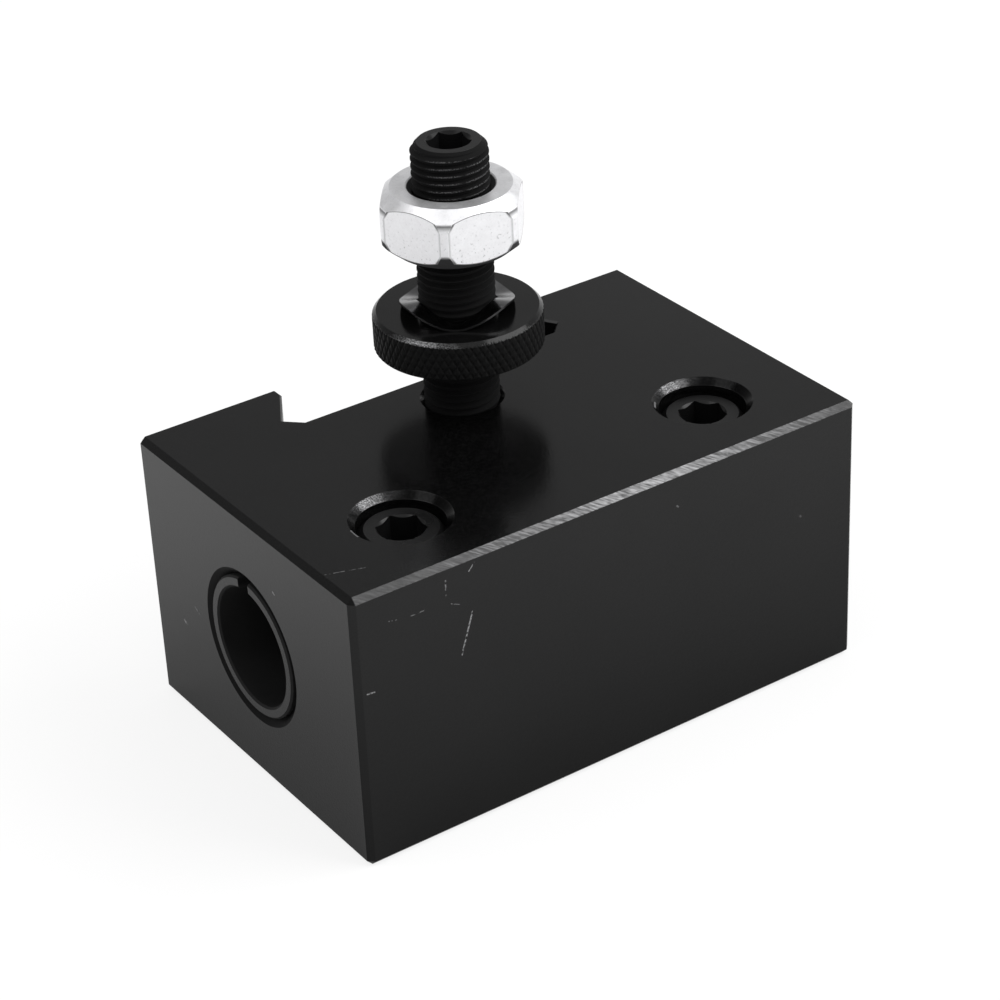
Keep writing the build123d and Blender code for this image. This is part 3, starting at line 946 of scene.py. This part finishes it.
# %% The height wheel
WHEEL_SHARP_ANGLE = 25
teeth_around, steps_per_tooth, steps_up = 66, 16, 41
wheel_radius, wheel_hole_radius = 10.9 * MM, 5.0 * MM
wheel_top_chamfer, wheel_bottom_chamfer, wheel_hole_chamfer = 0.55 * MM, 0.2 * MM, 0.5 * MM
shape = run_tree(
    knurl_tree,
    "wheel_rim",
    {
        "Radius": wheel_radius,
        "Groove Depth": 0.13 * MM,
        "Bottom": wheel_low.z,
        "Top": wheel_high.z,
        "Bottom Chamfer": wheel_bottom_chamfer,
        "Top Chamfer": wheel_top_chamfer,
        "Rows Of Teeth": 2.6,
        "Teeth Around": teeth_around,
        "Steps Per Tooth": steps_per_tooth,
        "Steps Up": steps_up,
        "Finish": wheel_finish,
    },
)
add_rings(shape, angles_round(teeth_around * steps_per_tooth), [
    lambda angle: (wheel_radius - wheel_top_chamfer, wheel_high.z),
    lambda angle: (wheel_hole_radius + wheel_hole_chamfer, wheel_high.z),
    lambda angle: (wheel_hole_radius, wheel_high.z - wheel_hole_chamfer),
    lambda angle: (wheel_hole_radius, wheel_low.z + wheel_hole_chamfer),
    lambda angle: (wheel_hole_radius + wheel_hole_chamfer, wheel_low.z),
    lambda angle: (wheel_radius - wheel_bottom_chamfer, wheel_low.z),
])
wheel = close_shape(shape, "height_wheel_knurled", Vector(stud_axis) * MM, wheel_finish, WHEEL_SHARP_ANGLE)
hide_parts("height_wheel")
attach(wheel, "wheel")

# %% [markdown]
# The object stands on a white table in soft light. The floor is one large sheet. The camera sees most of its
# white as its own light, which keeps the background even, and the paint under it takes the object's shadow.
# The black film mirrors a little of that white too.

# %% The floor
floor_reach = 3.0
paint_tone, white_strength = 0.9, 1.05
white_to_camera, white_in_mirrors = 0.78, 0.12
floor_mesh = bpy.data.meshes.new("table")
floor_corners = [(x * floor_reach, y * floor_reach, 0) for x, y in ((-1, -1), (1, -1), (1, 1), (-1, 1))]
floor_mesh.from_pydata(floor_corners, [], [(0, 1, 2, 3)])
floor = bpy.data.objects.new("table", floor_mesh)
bpy.context.scene.collection.objects.link(floor)
floor_finish = bpy.data.materials.new("table_white")
floor_finish.use_nodes = True
tree = floor_finish.node_tree
tree.nodes.clear()
paint = add_node(tree, "ShaderNodeBsdfDiffuse", {"Color": (paint_tone, paint_tone, paint_tone, 1.0)})
light_path = tree.nodes.new("ShaderNodeLightPath").outputs
mirrored = largest(tree, light_path["Is Glossy Ray"], light_path["Is Transmission Ray"])
seen = product(tree, light_path["Is Camera Ray"], white_to_camera)
seen = total(tree, seen, product(tree, mirrored, white_in_mirrors))
white = add_node(tree, "ShaderNodeEmission", {"Color": (1, 1, 1, 1), "Strength": white_strength})
both = add_node(tree, "ShaderNodeMixShader", {0: seen, 1: paint.outputs[0], 2: white.outputs[0]})
output = tree.nodes.new("ShaderNodeOutputMaterial")
tree.links.new(both.outputs[0], output.inputs[0])
floor_mesh.materials.append(floor_finish)
print("floor is", 2 * floor_reach, "metres wide")

# %% [markdown]
# The sky is a pale studio: its walls are bright at the floor and darken upwards, the ceiling is lit straight
# above, and the right and the front are a little brighter, as the flanks of the photograph say.

# %% The studio around it
world = bpy.data.worlds.new("studio")
bpy.context.scene.world = world
world.use_nodes = True
tree = world.node_tree
tree.nodes.clear()
direction = tree.nodes.new("ShaderNodeTexCoord").outputs["Generated"]
to_right, to_back, upward = add_node(tree, "ShaderNodeSeparateXYZ", {0: direction}).outputs
# Each line turns one part of the direction, which goes from -1 to 1, into a level of light.
walls = spread(tree, upward, 0.0, 0.3, 1.0, 0.42)
ceiling = spread(tree, upward, 0.65, 0.95, 0.0, 0.6)
right_side = spread(tree, to_right, 0.35, 0.6, 0.85, 1.1)
front_side = spread(tree, to_back, -0.9, 0.2, 1.25, 0.95)
sky_level = total(tree, product(tree, walls, product(tree, right_side, front_side)), ceiling)
sky = add_node(tree, "ShaderNodeBackground", {"Color": (1, 1, 1, 1), "Strength": sky_level})
output = tree.nodes.new("ShaderNodeOutputWorld")
tree.links.new(sky.outputs[0], output.inputs[0])
print("studio has", len(tree.nodes), "nodes")

# %% [markdown]
# Two large lamps stand to the front right and to the left, where the bright edges of the photograph say that
# they stood. Large square lamps give soft edges to the shadow and to what the film mirrors.

# %% The lamps


def softbox(name, direction, distance, size, power):
    """A square lamp that faces the object from this direction."""
    lamp_data = bpy.data.lights.new(name, "AREA")
    lamp_data.size = size
    lamp_data.energy = power
    lamp = bpy.data.objects.new(name, lamp_data)
    bpy.context.scene.collection.objects.link(lamp)
    toward = Vector(direction).normalized()
    lamp.location = toward * distance
    lamp.rotation_euler = toward.to_track_quat("Z", "Y").to_euler()
    print(name, "of", power, "watts")


softbox("front_right_softbox", direction=(0.58, -0.455, 0.68), distance=1.2, size=0.9, power=9.8)
softbox("left_softbox", direction=(-0.625, 0.16, 0.76), distance=1.2, size=0.6, power=2.2)
